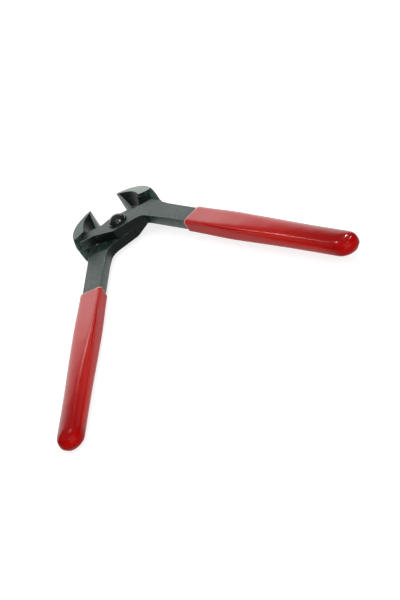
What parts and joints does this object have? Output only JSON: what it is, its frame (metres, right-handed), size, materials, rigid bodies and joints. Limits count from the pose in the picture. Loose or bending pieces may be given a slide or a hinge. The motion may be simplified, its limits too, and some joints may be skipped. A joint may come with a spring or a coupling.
{
  "type": "end-cutting nippers",
  "caption": "End-cutting nippers: crossed forged levers on a rivet, hooked jaws with hollowed, wide cutting edges, and long bars in dipped plastic grips.",
  "frame": {"origin": "centre of the bounding box's underside, level with the jaws' lower ground faces, with the jaws open as pictured", "axes": "+Z along the rivet to its domed head, +Y from the handles to the jaws, +X to the upper lever's handle"},
  "size_m": [0.2068, 0.2226, 0.0205],
  "materials": {
    "lever_steel": "satin dark grey-green, ground bright on the jaws' side faces",
    "rivet_steel": "glossy black",
    "grip_plastic": "glossy red dipped plastic"
  },
  "bodies": {
    "lower_half": {"lower_lever": "lever_steel", "pivot_rivet": "rivet_steel", "rivet_washer": "rivet_steel", "lower_grip": "grip_plastic"},
    "upper_half": {"upper_lever": "lever_steel", "upper_grip": "grip_plastic"}
  },
  "joints": [
    {"name": "lever_pivot", "type": "hinge", "parent": "lower_half", "child": "upper_half", "pos_m": [0, 0.08368, 0.0096], "axis": [0, 0, 1], "range_deg": [-38, 14]}
  ]
}
